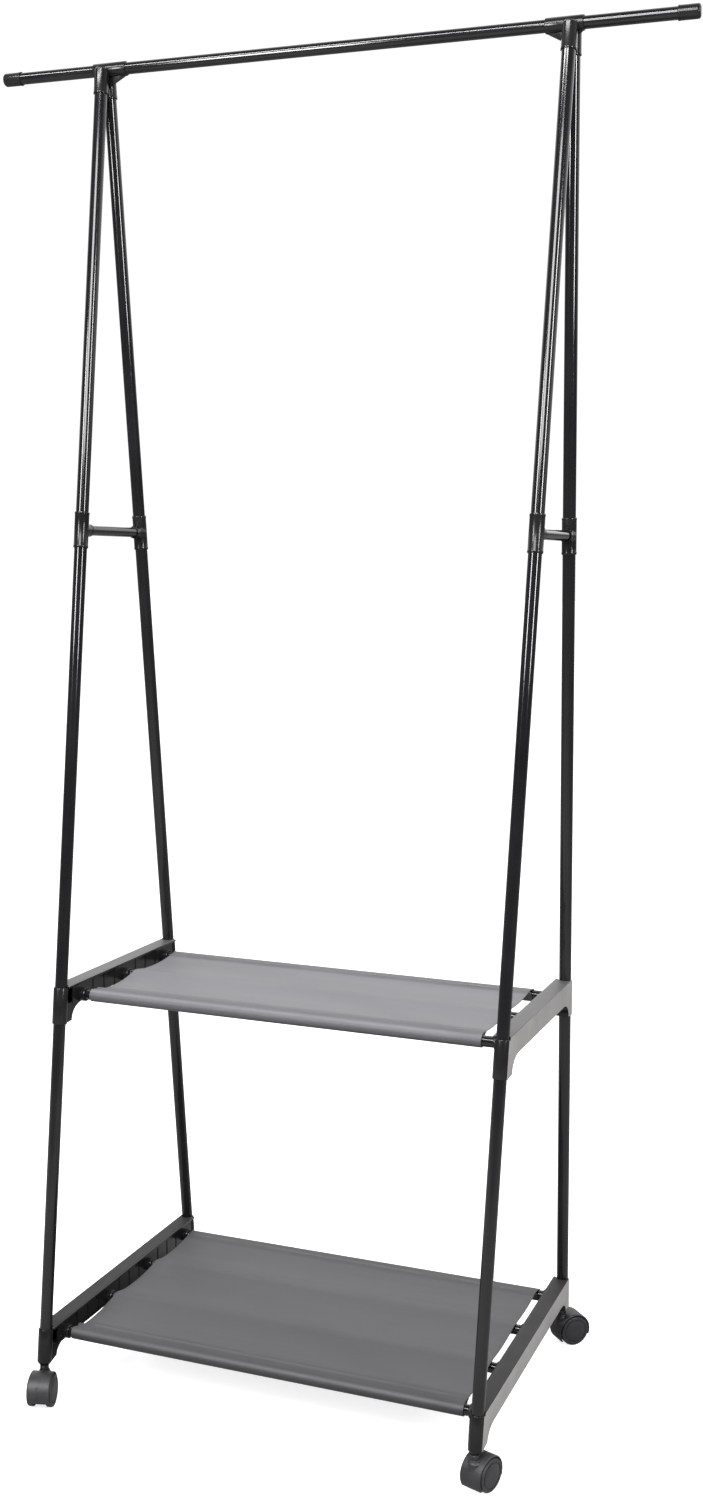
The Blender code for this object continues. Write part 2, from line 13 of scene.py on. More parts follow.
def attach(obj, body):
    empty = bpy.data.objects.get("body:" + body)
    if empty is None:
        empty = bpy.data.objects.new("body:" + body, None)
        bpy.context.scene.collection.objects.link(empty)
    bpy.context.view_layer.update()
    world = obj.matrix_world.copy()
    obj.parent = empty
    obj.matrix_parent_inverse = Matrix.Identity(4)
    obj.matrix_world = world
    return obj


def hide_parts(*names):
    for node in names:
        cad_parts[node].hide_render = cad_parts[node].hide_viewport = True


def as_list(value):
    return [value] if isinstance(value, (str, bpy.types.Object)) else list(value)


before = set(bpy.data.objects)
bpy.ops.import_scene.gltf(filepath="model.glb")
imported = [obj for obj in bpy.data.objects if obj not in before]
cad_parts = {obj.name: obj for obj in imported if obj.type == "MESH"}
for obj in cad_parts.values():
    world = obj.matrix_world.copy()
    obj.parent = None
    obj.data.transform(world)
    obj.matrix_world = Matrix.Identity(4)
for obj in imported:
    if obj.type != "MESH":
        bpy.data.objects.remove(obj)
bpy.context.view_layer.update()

# ---- the rack's sizes, in metres, as in the CAD ---------------------------------------------------------
HALF = 0.2775                                    # an A-frame's plane, from the rack's middle
BAR_Z = 1.581
BAR_END = 0.4125                                 # the capped end of the bar, from the rack's middle
TOP_HALF_GAP = 0.0075                            # a leg's axis from the bar's plane, at the bar's height
FOOT_HALF_GAP, FOOT_Z = 0.1973, 0.070            # and the same low down
LEAN = math.atan2(FOOT_HALF_GAP - TOP_HALF_GAP, BAR_Z - FOOT_Z)
LEG_R, LEG_WALL = 0.0075, 0.0010
BAR_R, BAR_WALL = 0.0065, 0.0009
ROD_R, ROD_WALL = 0.0065, 0.0008
CROSS_R, CROSS_WALL = 0.0060, 0.0008
FIT = 0.0003                                     # play between a tube and its socket
MOUTH = 0.0006                                   # how much wider a socket is at its mouth
TUBE_GAP = 0.001                                 # from a tube's end to the middle of its joint

TEE_Z, TEE_LENGTH, TEE_R = 1.057, 0.042, 0.0087
MID_TOP, LOW_TOP = 0.516, 0.095
LEVELS = {"middle": (MID_TOP, 3), "low": (LOW_TOP, 4)}      # the rails' top and the number of rods
RAIL_DEPTH, RAIL_IN, RAIL_OUT, RAIL_WALL = 0.0265, 0.0120, 0.0090, 0.0024
SOCKET_FLOOR = 0.0025                            # a rod socket's floor, in from the rail's outer face
SLEEVE_R, SLEEVE_LENGTH, SLEEVE_DROP = 0.0090, 0.045, 0.0020
ROD_DROP = 0.0165                                # from a rail's top to the rods' axes
PITCH = 0.110                                    # from rod to rod
LOW_SLEEVE_END = LOW_TOP - SLEEVE_DROP - SLEEVE_LENGTH

WHEEL_R, WHEEL_T = 0.0198, 0.0072
AXLE_Z = 0.019829
TRAIL = 0.0129                                   # the axle behind the swivel axis
HOOD_R, HOOD_WALL, HOOD_HALF_W = 0.0230, 0.0018, 0.0140
BLOCK_HALF_W = 0.0075
STEM_R = 0.0040
BOSS_TOP = 0.0415
STEM_GRIP = 0.0190                               # how far the stem goes up into its sleeve
# which way each caster trails, in degrees
HEADINGS = {"front_left": -73.5, "front_right": 71.0, "rear_right": 43.6, "rear_left": 106.5}

CLOTH_T = 0.0010
SLEEVE_MID_R = ROD_R + 0.0004 + CLOTH_T / 2      # a sewn sleeve's middle surface round a rod
HEM = 0.0150                                     # how far the sewn flap reaches under the deck
FLAP = 0.0166                                    # what a flap, and its step to the rod, take of the cut
WRAP = math.radians(230)                         # how far a sleeve goes round its rod

SIDES = {"left": -1, "right": 1}
ENDS = {"front": -1, "rear": 1}
SMOOTH = math.radians(32)


def leg_y(z):
    """How far a leg's axis is from the bar's plane at height z."""
    return TOP_HALF_GAP + (BAR_Z - z) * math.tan(LEAN)


STEM_Y = leg_y(LOW_SLEEVE_END)


def cut_length(bays):
    """The length that a shelf's cloth is cut to: a flap and a wrap at each end, and the bays between."""
    return 2 * (FLAP + WRAP * SLEEVE_MID_R) + bays * PITCH


# ---- the bench: small habits that every piece is made with ----------------------------------------------
def clear_hands():
    if bpy.context.mode != "OBJECT":
        bpy.ops.object.mode_set(mode="OBJECT")
    bpy.ops.object.select_all(action="DESELECT")


def take(obj):
    clear_hands()
    obj.select_set(True)
    bpy.context.view_layer.objects.active = obj
    return obj


def open_up(obj):
    take(obj)
    bpy.ops.object.mode_set(mode="EDIT")
    bpy.context.tool_settings.mesh_select_mode = (True, False, False)
    bpy.ops.mesh.select_all(action="SELECT")


def close_up(obj):
    """Merges doubled corners and turns the faces outwards."""
    if bpy.context.mode != "EDIT_MESH":
        open_up(obj)
    bpy.ops.mesh.select_all(action="SELECT")
    bpy.ops.mesh.remove_doubles(threshold=2e-6)
    bpy.ops.mesh.normals_make_consistent(inside=False)
    bpy.ops.object.mode_set(mode="OBJECT")
    return obj


def settle(obj, move):
    """Puts obj in place and applies the place to its mesh."""
    take(obj)
    obj.matrix_world = move @ obj.matrix_world
    bpy.ops.object.transform_apply(location=True, rotation=True, scale=True)
    return obj


def apply_all(obj):
    take(obj)
    for modifier in list(obj.modifiers):
        bpy.ops.object.modifier_apply(modifier=modifier.name)
    return obj


def soften(obj, width, segments=2, angle=40):
    """Rounds the edges sharper than angle."""
    bevel = obj.modifiers.new("soft edges", "BEVEL")
    bevel.width = width
    bevel.segments = segments
    bevel.limit_method = "ANGLE"
    bevel.angle_limit = math.radians(angle)
    bevel.use_clamp_overlap = True
    return apply_all(obj)


def mould(base, joined=(), cut=()):
    """Joins shapes to base, cuts others from it, and throws the tools away."""
    for tool, operation in [(t, "UNION") for t in joined] + [(t, "DIFFERENCE") for t in cut]:
        boolean = base.modifiers.new("mould", "BOOLEAN")
        boolean.operation = operation
        boolean.solver = "MANIFOLD"
        boolean.object = tool
        apply_all(base)
        bpy.data.objects.remove(tool, do_unlink=True)
    return close_up(base)


def lathed(profile, sides=48, ring=False):
    """A round shape about Z: a ring of corners at the first (radius, height), drawn on through the others.
    A ring closes on itself, and anything else gets its two ends filled."""
    clear_hands()
    radius, height = profile[0]
    bpy.ops.mesh.primitive_circle_add(vertices=sides, radius=radius, location=(0, 0, height))
    obj = bpy.context.object
    bpy.ops.object.transform_apply(location=True)
    open_up(obj)
    if not ring:
        bpy.ops.mesh.edge_face_add()
    for wide, high in list(profile[1:]) + ([profile[0]] if ring else []):
        bpy.ops.mesh.extrude_region_move(TRANSFORM_OT_translate={"value": (0, 0, high - height)})
        share = wide / radius
        bpy.ops.transform.resize(value=(share, share, 1), center_override=(0, 0, high))
        radius, height = wide, high
    return close_up(obj)


def lathed_rod(radius, low, high, edge=0.0, sides=48):
    """A solid round bar along Z with small chamfers of that edge."""
    if not edge:
        return lathed([(radius, low), (radius, high)], sides)
    inner = radius - edge
    return lathed([(inner, low), (radius, low + edge), (radius, high - edge), (inner, high)], sides)


def lathed_tube(radius, wall, low, high, sides=40):
    """A tube with its two ends rolled in a little."""
    edge = wall * 0.35
    inner = radius - wall
    return lathed(
        [
            (inner, low + edge),
            (inner + edge, low),
            (radius - edge, low),
            (radius, low + edge),
            (radius, high - edge),
            (radius - edge, high),
            (inner + edge, high),
            (inner, high - edge),
        ],
        sides,
        ring=True,
    )


def traced(points, draw):
    """A flat outline drawn corner by corner, filled, and pulled out along draw."""
    clear_hands()
    bpy.ops.mesh.primitive_plane_add(size=0.01)
    obj = bpy.context.object
    open_up(obj)
    bpy.ops.mesh.merge(type="CENTER")
    bpy.ops.transform.translate(value=Vector(points[0]))
    for near, far in zip(points, points[1:]):
        step = Vector(far) - Vector(near)
        bpy.ops.mesh.extrude_region_move(TRANSFORM_OT_translate={"value": step})
    bpy.ops.mesh.select_all(action="SELECT")
    bpy.ops.mesh.edge_face_add()
    bpy.ops.mesh.extrude_region_move(TRANSFORM_OT_translate={"value": Vector(draw)})
    return close_up(obj)


def slab(low, high):
    """A box between two corners."""
    clear_hands()
    low, high = Vector(low), Vector(high)
    bpy.ops.mesh.primitive_cube_add(size=1, location=(low + high) / 2, scale=high - low)
    bpy.ops.object.transform_apply(location=True, scale=True)
    return bpy.context.object


def shift(x, y, z):
    return Matrix.Translation((x, y, z))


def turn(degrees, axis="Z"):
    return Matrix.Rotation(math.radians(degrees), 4, axis)


ALONG_X = turn(90, "Y")
ALONG_Y = turn(-90, "X")


def leaning(end):
    """Turns +Z onto a leg's axis."""
    return Matrix.Rotation(end * LEAN, 4, "X")


def smooth(obj):
    take(obj)
    bpy.ops.object.shade_smooth_by_angle(angle=SMOOTH, keep_sharp_edges=False)
    return obj


def fit(model, name, place, finish, node, body="root", flats=()):
    """One copy of a modelled shape, in place on the rack, standing for its CAD node. flats are the finishes
    of the faces that are marked 1, 2 and so on."""
    obj = model.copy()
    obj.data = model.data.copy()
    bpy.context.scene.collection.objects.link(obj)
    obj.name = name
    obj.data.name = name
    settle(obj, place)
    marks = [polygon.material_index for polygon in obj.data.polygons]
    obj.data.materials.clear()
    obj.data.materials.append(finish["look"])
    if flats:
        for flat in flats:
            obj.data.materials.append(flat["look"])
        for polygon, mark in zip(obj.data.polygons, marks):
            polygon.material_index = mark
    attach(obj, body)
    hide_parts(node)
    return obj


def put_away(*models):
    for model in models:
        bpy.data.objects.remove(model, do_unlink=True)


# ---- finishes -------------------------------------------------------------------------------------------
class Bench:
    """A material's node tree, with short words for the nodes that the finishes share."""

    def __init__(self, name):
        self.look = bpy.data.materials.new(name)
        self.look.use_nodes = True
        self.tree = self.look.node_tree
        self.shader = self.tree.nodes["Principled BSDF"]
        self.place = self.tree.nodes.new("ShaderNodeTexCoord")

    def link(self, out, into):
        self.tree.links.new(out, into)

    def stretched(self, scale, source="Object"):
        node = self.tree.nodes.new("ShaderNodeMapping")
        node.inputs["Scale"].default_value = scale
        self.link(self.place.outputs[source], node.inputs["Vector"])
        return node.outputs["Vector"]

    def noise(self, vector, scale, detail=2.0, roughness=0.5):
        node = self.tree.nodes.new("ShaderNodeTexNoise")
        node.inputs["Scale"].default_value = scale
        node.inputs["Detail"].default_value = detail
        node.inputs["Roughness"].default_value = roughness
        self.link(vector, node.inputs["Vector"])
        return node.outputs["Fac"]

    def cells(self, vector, scale):
        node = self.tree.nodes.new("ShaderNodeTexVoronoi")
        node.inputs["Scale"].default_value = scale
        self.link(vector, node.inputs["Vector"])
        return node.outputs["Distance"]

    def wave(self, vector, scale, direction):
        node = self.tree.nodes.new("ShaderNodeTexWave")
        node.bands_direction = direction
        node.inputs["Scale"].default_value = scale
        self.link(vector, node.inputs["Vector"])
        return node.outputs["Fac"]

    def spread(self, value, low, high, start=0.0, stop=1.0):
        """Runs from low to high as value runs from start to stop."""
        node = self.tree.nodes.new("ShaderNodeMapRange")
        node.inputs["From Min"].default_value = start
        node.inputs["From Max"].default_value = stop
        node.inputs["To Min"].default_value = low
        node.inputs["To Max"].default_value = high
        self.link(value, node.inputs["Value"])
        return node.outputs["Result"]

    def sum(self, a, b, share=1.0):
        """a and that share of b."""
        node = self.tree.nodes.new("ShaderNodeMath")
        node.operation = "MULTIPLY_ADD"
        node.inputs[1].default_value = share
        self.link(b, node.inputs[0])
        self.link(a, node.inputs[2])
        return node.outputs["Value"]

    def product(self, a, b):
        node = self.tree.nodes.new("ShaderNodeMath")
        node.operation = "MULTIPLY"
        self.link(a, node.inputs[0])
        self.link(b, node.inputs[1])
        return node.outputs["Value"]

    def tones(self, value, *stops):
        """A colour that runs through (position, colour) stops."""
        node = self.tree.nodes.new("ShaderNodeValToRGB")
        ramp = node.color_ramp.elements
        while len(ramp) < len(stops):
            ramp.new(0.5)
        for element, (position, colour) in zip(ramp, stops):
            element.position = position
            element.color = (*colour, 1)
        self.link(value, node.inputs["Fac"])
        return node.outputs["Color"]

    def bump(self, height, strength, distance):
        node = self.tree.nodes.new("ShaderNodeBump")
        node.inputs["Strength"].default_value = strength
        node.inputs["Distance"].default_value = distance
        self.link(height, node.inputs["Height"])
        self.link(node.outputs["Normal"], self.shader.inputs["Normal"])

    def colour(self, value):
        self.link(value, self.shader.inputs["Base Color"])

    def rough(self, value):
        self.link(value, self.shader.inputs["Roughness"])

    def finish(self, slot):
        return {"look": self.look, "slot": slot}


def gloss_paint():
    """Baked black paint on steel tube: a faint orange peel, cloudier in patches."""
    b = Bench("gloss_black_tube_paint")
    at = b.stretched((1, 1, 1))
    patches = b.noise(at, 14, 3)
    peel = b.noise(at, 170, 1)
    dust = b.noise(at, 1800, 1)
    b.colour(b.tones(patches, (0.25, (0.0030, 0.0030, 0.0034)), (0.8, (0.0062, 0.0062, 0.0068))))
    b.rough(b.sum(b.spread(patches, 0.07, 0.11), dust, 0.01))
    b.bump(b.sum(peel, dust, 0.01), 0.006, 0.00008)
    b.shader.inputs["Specular IOR Level"].default_value = 0.32
    return b.finish("black_paint")


def moulded_plastic():
    """Moulded black plastic with a fine spark-eroded grain, rubbed a little smoother in places."""
    b = Bench("moulded_black_plastic")
    at = b.stretched((1, 1, 1))
    patches = b.noise(at, 22, 4)
    grain = b.cells(at, 1700)
    fine = b.noise(at, 2600, 2)
    flow = b.noise(b.stretched((1, 0.12, 1)), 260, 2)
    b.colour(b.tones(patches, (0.25, (0.0045, 0.0045, 0.0048)), (0.8, (0.0090, 0.0088, 0.0090))))
    b.shader.inputs["Specular IOR Level"].default_value = 0.18
    b.rough(b.sum(b.sum(b.spread(patches, 0.13, 0.18), fine, 0.03), flow, 0.03))
    b.bump(b.sum(grain, fine, 0.4), 0.02, 0.00006)
    return b.finish("black_plastic")


def rail_top_painted_reflection(name, low, high, shine):
    """A rail's flat top: the same moulding dulled by handling, coloured lighter than the moulding as painted
    reflection of the sky.
    """
    b = Bench(name)
    at = b.stretched((1, 1, 1))
    patches = b.noise(at, 30, 4, 0.6)
    drag = b.noise(b.stretched((0.3, 0.05, 1)), 700, 3, 0.6)
    # painted reflection: these greys are lighter than the moulding's own black
    dark, light = ((grey, grey * 0.98, grey * 0.96) for grey in (low, high))
    b.colour(b.tones(b.sum(patches, drag, 0.25), (0.35, dark), (0.95, light)))
    b.rough(b.sum(b.spread(patches, 0.44, 0.56), drag, 0.06))
    b.bump(b.sum(patches, drag, 0.7), 0.10, 0.00008)
    b.shader.inputs["Specular IOR Level"].default_value = shine
    return b.finish("black_plastic")


def blasted_face_painted_reflection():
    """The rails' broad flat faces, blasted matt in the mould; their grey colour is painted reflection of the
    bright room behind.
    """
    b = Bench("painted_reflection_blasted_plastic")
    at = b.stretched((1, 1, 1))
    patches = b.noise(at, 26, 4, 0.6)
    grain = b.cells(at, 1300)
    drag = b.noise(b.stretched((1, 0.05, 0.3)), 700, 3, 0.6)
    # painted reflection: the black plastic is coloured grey for the bright room that its faces mirror
    dark, light = (0.130, 0.127, 0.125), (0.208, 0.203, 0.198)
    b.colour(b.tones(b.sum(patches, drag, 0.25), (0.35, dark), (0.95, light)))
    b.rough(b.sum(b.spread(patches, 0.36, 0.46), drag, 0.06))
    b.bump(b.sum(grain, drag, 0.7), 0.14, 0.00010)
    b.shader.inputs["Specular IOR Level"].default_value = 0.80
    return b.finish("black_plastic")


def caster_plastic(name, low, high, grain_scale):
    """Satin nylon, scuffed by use. low and high are its roughness."""
    b = Bench(name)
    at = b.stretched((1, 1, 1))
    patches = b.noise(at, 60, 4)
    scuffs = b.noise(b.stretched((1, 1, 0.25)), 900, 3, 0.7)
    grain = b.cells(at, grain_scale)
    dark, light = (0.009, 0.009, 0.010), (0.019, 0.019, 0.021)
    b.colour(b.tones(b.sum(patches, scuffs, 0.3), (0.35, dark), (0.95, light)))
    b.rough(b.sum(b.spread(patches, low, high), scuffs, 0.08))
    b.bump(b.sum(grain, scuffs, 0.4), 0.16, 0.00012)
    b.shader.inputs["Specular IOR Level"].default_value = 0.32
    return b.finish("caster_tread")


def stem_steel():
    """Blackened steel with fine turning marks."""
    b = Bench("blackened_steel")
    rings = b.noise(b.stretched((30, 30, 1200)), 1.0, 2)
    patches = b.noise(b.stretched((1, 1, 1)), 90, 3)
    b.colour(b.tones(patches, (0.3, (0.030, 0.030, 0.032)), (0.8, (0.075, 0.074, 0.074))))
    b.rough(b.sum(b.spread(patches, 0.26, 0.38), rings, 0.08))
    b.bump(rings, 0.15, 0.00006)
    b.shader.inputs["Metallic"].default_value = 0.85
    return b.finish("zinc_steel")


def shelf_cloth_finish(name, bays, low, high):
    """Coated grey shelf cloth: a plain weave and slubs along the rods. Near its two cut ends: painted shade
    over the flap and the sleeve's face, a thin painted highlight along the sleeve's top, and at each hem a
    darker band that is double cloth with painted shade on it. low and high are its darkest and lightest grey."""
    b = Bench(name)
    thread = b.stretched((1, 1, 1), "UV")
    warp = b.wave(thread, 330, "X")
    weft = b.wave(thread, 330, "Y")
    weave = b.product(warp, weft)
    slubs = b.noise(b.stretched((9, 420, 1), "UV"), 1.0, 3, 0.6)
    bands = b.noise(b.stretched((1.6, 26, 1), "UV"), 1.0, 3, 0.55)
    fuzz = b.noise(thread, 900, 3, 0.65)
    mix = b.sum(b.sum(b.spread(bands, 0.10, 0.62), slubs, 0.42), fuzz, 0.12)
    plain = b.tones(mix, (0.15, low), (0.95, high))

    split = b.tree.nodes.new("ShaderNodeSeparateXYZ")
    b.link(b.place.outputs["UV"], split.inputs["Vector"])
    from_rear = b.tree.nodes.new("ShaderNodeMath")
    from_rear.operation = "SUBTRACT"
    from_rear.inputs[0].default_value = cut_length(bays)
    b.link(split.outputs["Y"], from_rear.inputs[1])
    nearest = b.tree.nodes.new("ShaderNodeMath")
    nearest.operation = "MINIMUM"
    b.link(split.outputs["Y"], nearest.inputs[0])
    b.link(from_rear.outputs["Value"], nearest.inputs[1])
    # the hem's bands are placed as shares of the zone next to a cut end
    hem_zone = 0.100
    place = b.spread(b.sum(nearest.outputs["Value"], slubs, 0.0012), 0.0, 1.0, 0.0, hem_zone)
    # painted shade on the flap and the sleeve's face, a painted highlight at the sleeve's top, then the hem:
    # double cloth with painted shade
    double_cloth_and_painted_light = b.tones(
        place,
        (0.00, (0.52, 0.52, 0.54)),
        (0.395, (0.52, 0.52, 0.54)),
        (0.415, (1.15, 1.15, 1.18)),
        (0.435, (1.15, 1.15, 1.18)),
        (0.465, (0.50, 0.50, 0.52)),
        (0.68, (0.60, 0.60, 0.62)),
        (0.72, (1.0, 1.0, 1.0)),
    )
    shaded = b.tree.nodes.new("ShaderNodeMix")
    shaded.data_type = "RGBA"
    shaded.blend_type = "MULTIPLY"
    shaded.inputs["Factor"].default_value = 1.0
    b.link(plain, shaded.inputs["A"])
    b.link(double_cloth_and_painted_light, shaded.inputs["B"])
    b.colour(shaded.outputs["Result"])
    b.rough(b.sum(b.spread(slubs, 0.46, 0.62), weave, 0.10))
    b.bump(b.sum(b.sum(weave, slubs, 0.7), fuzz, 0.3), 0.40, 0.00020)
    return b.finish("grey_fabric")


def seam_thread_finish():
    """Grey sewing thread with its twist."""
    b = Bench("sewing_thread")
    twist = b.wave(b.stretched((1, 1, 1)), 500, "DIAGONAL")
    b.colour(b.tones(twist, (0.1, (0.085, 0.085, 0.092)), (0.9, (0.15, 0.15, 0.16))))
    b.rough(b.spread(twist, 0.55, 0.75))
    b.bump(twist, 0.3, 0.00008)
    return b.finish("grey_fabric")


paint = gloss_paint()
plastic = moulded_plastic()
# The rails' outer faces get a finish with painted reflection.
outer_faces_painted_reflection = blasted_face_painted_reflection()
# The rail tops are coloured lighter as painted reflection; the low rails' copy is darker than the middle's as
# painted shade.
middle_top_painted_reflection = rail_top_painted_reflection("painted_reflection_top_middle", 0.030, 0.050, 0.55)
low_top_painted_reflection_and_shade = rail_top_painted_reflection("painted_reflection_and_shade_top_low", 0.014, 0.025, 0.08)
hood_finish = caster_plastic("satin_caster_nylon", 0.40, 0.52, 1500)
wheel_finish = caster_plastic("scuffed_caster_wheel", 0.36, 0.50, 1900)
steel = stem_steel()
upper_cloth = shelf_cloth_finish(
    "grey_shelf_cloth", 2, low=(0.046, 0.045, 0.0495), high=(0.092, 0.090, 0.0975)
)
# The low shelf is the same cloth as the middle one: this copy is painted darker, as painted shade for its
# place under the middle shelf.
painted_shade_cloth_copy = shelf_cloth_finish(
    "painted_shade_shelf_cloth_copy", 3, low=(0.0150, 0.0146, 0.0160), high=(0.0290, 0.0282, 0.0306)
)
thread_finish = seam_thread_finish()


# ---- tubes ----------------------------------------------------------------------------------------------
def make_bar():
    reach = 0.409
    bar = smooth(lathed_tube(BAR_R, BAR_WALL, -reach, reach, 56))
    fit(bar, "hanging_tube", shift(0, 0, BAR_Z) @ ALONG_X, paint, "hanging_bar")
    put_away(bar)


def make_bar_plugs():
    """Push-on caps: a thin lip at the mouth, a plain skirt and a domed end."""
    bore = BAR_R + FIT
    over, length = 0.00765, 0.0235
    cap = lathed(
        [
            (bore, 0.0210),
            (bore, 0.0004),
            (bore + 0.0003, 0),
            (over - 0.0003, 0),
            (over, 0.0003),
            (over, 0.0016),
            (over - 0.00025, 0.0019),
            (over - 0.00025, 0.0200),
            (over - 0.0005, 0.0215),
            (over - 0.0013, 0.0226),
            (over - 0.0026, 0.0232),
            (over - 0.0046, length),
        ],
        56,
    )
    smooth(cap)
    for side, sign in SIDES.items():
        spot = shift(sign * (BAR_END - length), 0, BAR_Z) @ turn(0 if sign > 0 else 180) @ ALONG_X
        fit(cap, f"bar_end_plug_{side}", spot, plastic, f"bar_cap_{side}")
    put_away(cap)


def make_legs():
    """Each leg is three tubes, which meet in its tee and in the middle rail's sleeve."""
    below_bar, above_stem = 0.011, 0.0235
    mid_joint = MID_TOP - SLEEVE_DROP - SLEEVE_LENGTH / 2
    runs = {
        "upper": (TEE_Z + TUBE_GAP, BAR_Z - below_bar),
        "middle": (mid_joint + TUBE_GAP, TEE_Z - TUBE_GAP),
        "lower": (LOW_SLEEVE_END + above_stem, mid_joint - TUBE_GAP),
    }
    for run, (low, high) in runs.items():
        leg = smooth(lathed_tube(LEG_R, LEG_WALL, 0, (high - low) / math.cos(LEAN), 56))
        for end, front in ENDS.items():
            for side, sign in SIDES.items():
                spot = shift(sign * HALF, front * leg_y(low), low) @ leaning(front)
                fit(leg, f"{run}_leg_tube_{end}_{side}", spot, paint, f"{run}_leg_{end}_{side}")
        put_away(leg)


def make_cross_tubes():
    half = leg_y(TEE_Z) - TEE_R - 0.002
    cross = smooth(lathed_tube(CROSS_R, CROSS_WALL, -half, half, 48))
    for side, sign in SIDES.items():
        spot = shift(sign * HALF, 0, TEE_Z) @ ALONG_Y
        fit(cross, f"cross_brace_{side}", spot, paint, f"cross_tube_{side}")
    put_away(cross)


def rod_places(count):
    return [(i - (count - 1) / 2) * PITCH for i in range(count)]


def make_shelf_rods():
    half = HALF + RAIL_OUT - SOCKET_FLOOR - TUBE_GAP
    rod = smooth(lathed_tube(ROD_R, ROD_WALL, -half, half, 48))
    for level, (top, count) in LEVELS.items():
        for i, y in enumerate(rod_places(count)):
            spot = shift(0, y, top - ROD_DROP) @ ALONG_X
            fit(rod, f"{level}_shelf_tube_{i + 1}", spot, paint, f"{level}_shelf_rod_{i + 1}")
    put_away(rod)


# ---- mouldings ------------------------------------------------------------------------------------------
def make_top_connectors():
    """A collar round the bar, two leg sockets with rolled mouths, and a thin web on each side of them."""
    collar_r, socket_r = 0.0079, 0.0086
    inner, outer = 0.0285, 0.0135
    collar = lathed(
        [
            (collar_r - 0.0007, -inner),
            (collar_r - 0.0002, -inner + 0.0003),
            (collar_r, -inner + 0.0009),
            (collar_r, outer - 0.0009),
            (collar_r - 0.0002, outer - 0.0003),
            (collar_r - 0.0007, outer),
        ],
        64,
    )
    settle(collar, ALONG_X)
    sockets, bores = [], [settle(lathed_rod(BAR_R + FIT, -0.08, 0.08, sides=64), ALONG_X)]
    drop = 0.029 / math.cos(LEAN)
    for end in ENDS.values():
        axis = shift(0, end * TOP_HALF_GAP, 0) @ leaning(end)
        socket = lathed(
            [
                (socket_r - 0.0006, -drop),
                (socket_r - 0.0001, -drop + 0.0003),
                (socket_r + 0.00012, -drop + 0.0010),
                (socket_r + 0.00012, -drop + 0.0018),
                (socket_r - 0.0001, -drop + 0.0026),
                (socket_r - 0.0001, -0.002),
                (socket_r - 0.0015, 0.0),
            ],
            56,
        )
        sockets.append(settle(socket, axis))
        bore, mouth = LEG_R + FIT, LEG_R + FIT + MOUTH
        opening = [(mouth, -drop - 0.01), (mouth, -drop), (bore, -drop + 0.0007), (bore, -0.010)]
        bores.append(settle(lathed(opening, 56), axis))
    flank, under, web_t = socket_r * 0.6, -collar_r * 0.8, 0.0030
    webs = []
    for way, reach, foot in ((-1, inner, 0.0190), (1, outer, 0.0140)):
        edge = way * (reach - 0.0015)
        points = [(way * flank, under), (edge, under), (edge, under - 0.0016), (way * flank, -foot)]
        web = traced([(x, -web_t / 2, z) for x, z in points], (0, web_t, 0))
        webs.append(soften(web, 0.0004, 2))
    connector = smooth(mould(collar, sockets + webs, bores))
    for side, sign in SIDES.items():
        spot = shift(sign * HALF, 0, BAR_Z) @ turn(0 if sign > 0 else 180)
        fit(connector, f"bar_holder_{side}", spot, plastic, f"top_connector_{side}")
    put_away(connector)


def make_tees():
    """A sleeve on the leg with a rolled rim at each end, and a flared boss for the cross tube along +Y."""
    half = TEE_LENGTH / 2
    sleeve = lathed(
        [
            (TEE_R - 0.0006, -half),
            (TEE_R - 0.0001, -half + 0.0003),
            (TEE_R + 0.0001, -half + 0.0010),
            (TEE_R + 0.0001, -half + 0.0024),
            (TEE_R - 0.0002, -half + 0.0032),
            (TEE_R - 0.0002, half - 0.0032),
            (TEE_R + 0.0001, half - 0.0024),
            (TEE_R + 0.0001, half - 0.0010),
            (TEE_R - 0.0001, half - 0.0003),
            (TEE_R - 0.0006, half),
        ],
        56,
    )
    settle(sleeve, leaning(-1))
    boss = lathed(
        [
            (0.0087, 0.0),
            (0.0087, 0.0066),
            (0.0083, 0.0078),
            (0.0077, 0.0094),
            (0.0074, 0.0112),
            (0.0074, 0.0158),
            (0.0075, 0.0164),
            (0.0075, 0.0176),
            (0.0071, 0.0180),
        ],
        48,
    )
    settle(boss, ALONG_Y)
    leg_bore = settle(lathed_rod(LEG_R + FIT, -0.06, 0.06, sides=56), leaning(-1))
    cross_bore = settle(lathed_rod(CROSS_R + FIT, TEE_R + 0.001, 0.06, sides=48), ALONG_Y)
    tee = smooth(mould(sleeve, [boss], [leg_bore, cross_bore]))
    for end, front in ENDS.items():
        for side, sign in SIDES.items():
            spot = shift(sign * HALF, front * leg_y(TEE_Z), TEE_Z) @ turn(0 if front < 0 else 180)
            fit(tee, f"brace_tee_{end}_{side}", spot, plastic, f"tee_{end}_{side}")
    put_away(tee)


def hollow_edge(foot_z, low_z, steps=18):
    """The quarter curve under a rail, from the gusset's foot to the rail's lower edge."""
    foot_y, reach = leg_y(foot_z) - 0.0170, 0.0250
    turns = [math.pi / 2 * i / steps for i in range(steps + 1)]
    return [(foot_y - reach * (1 - math.cos(a)), foot_z + (low_z - foot_z) * math.sin(a)) for a in turns]


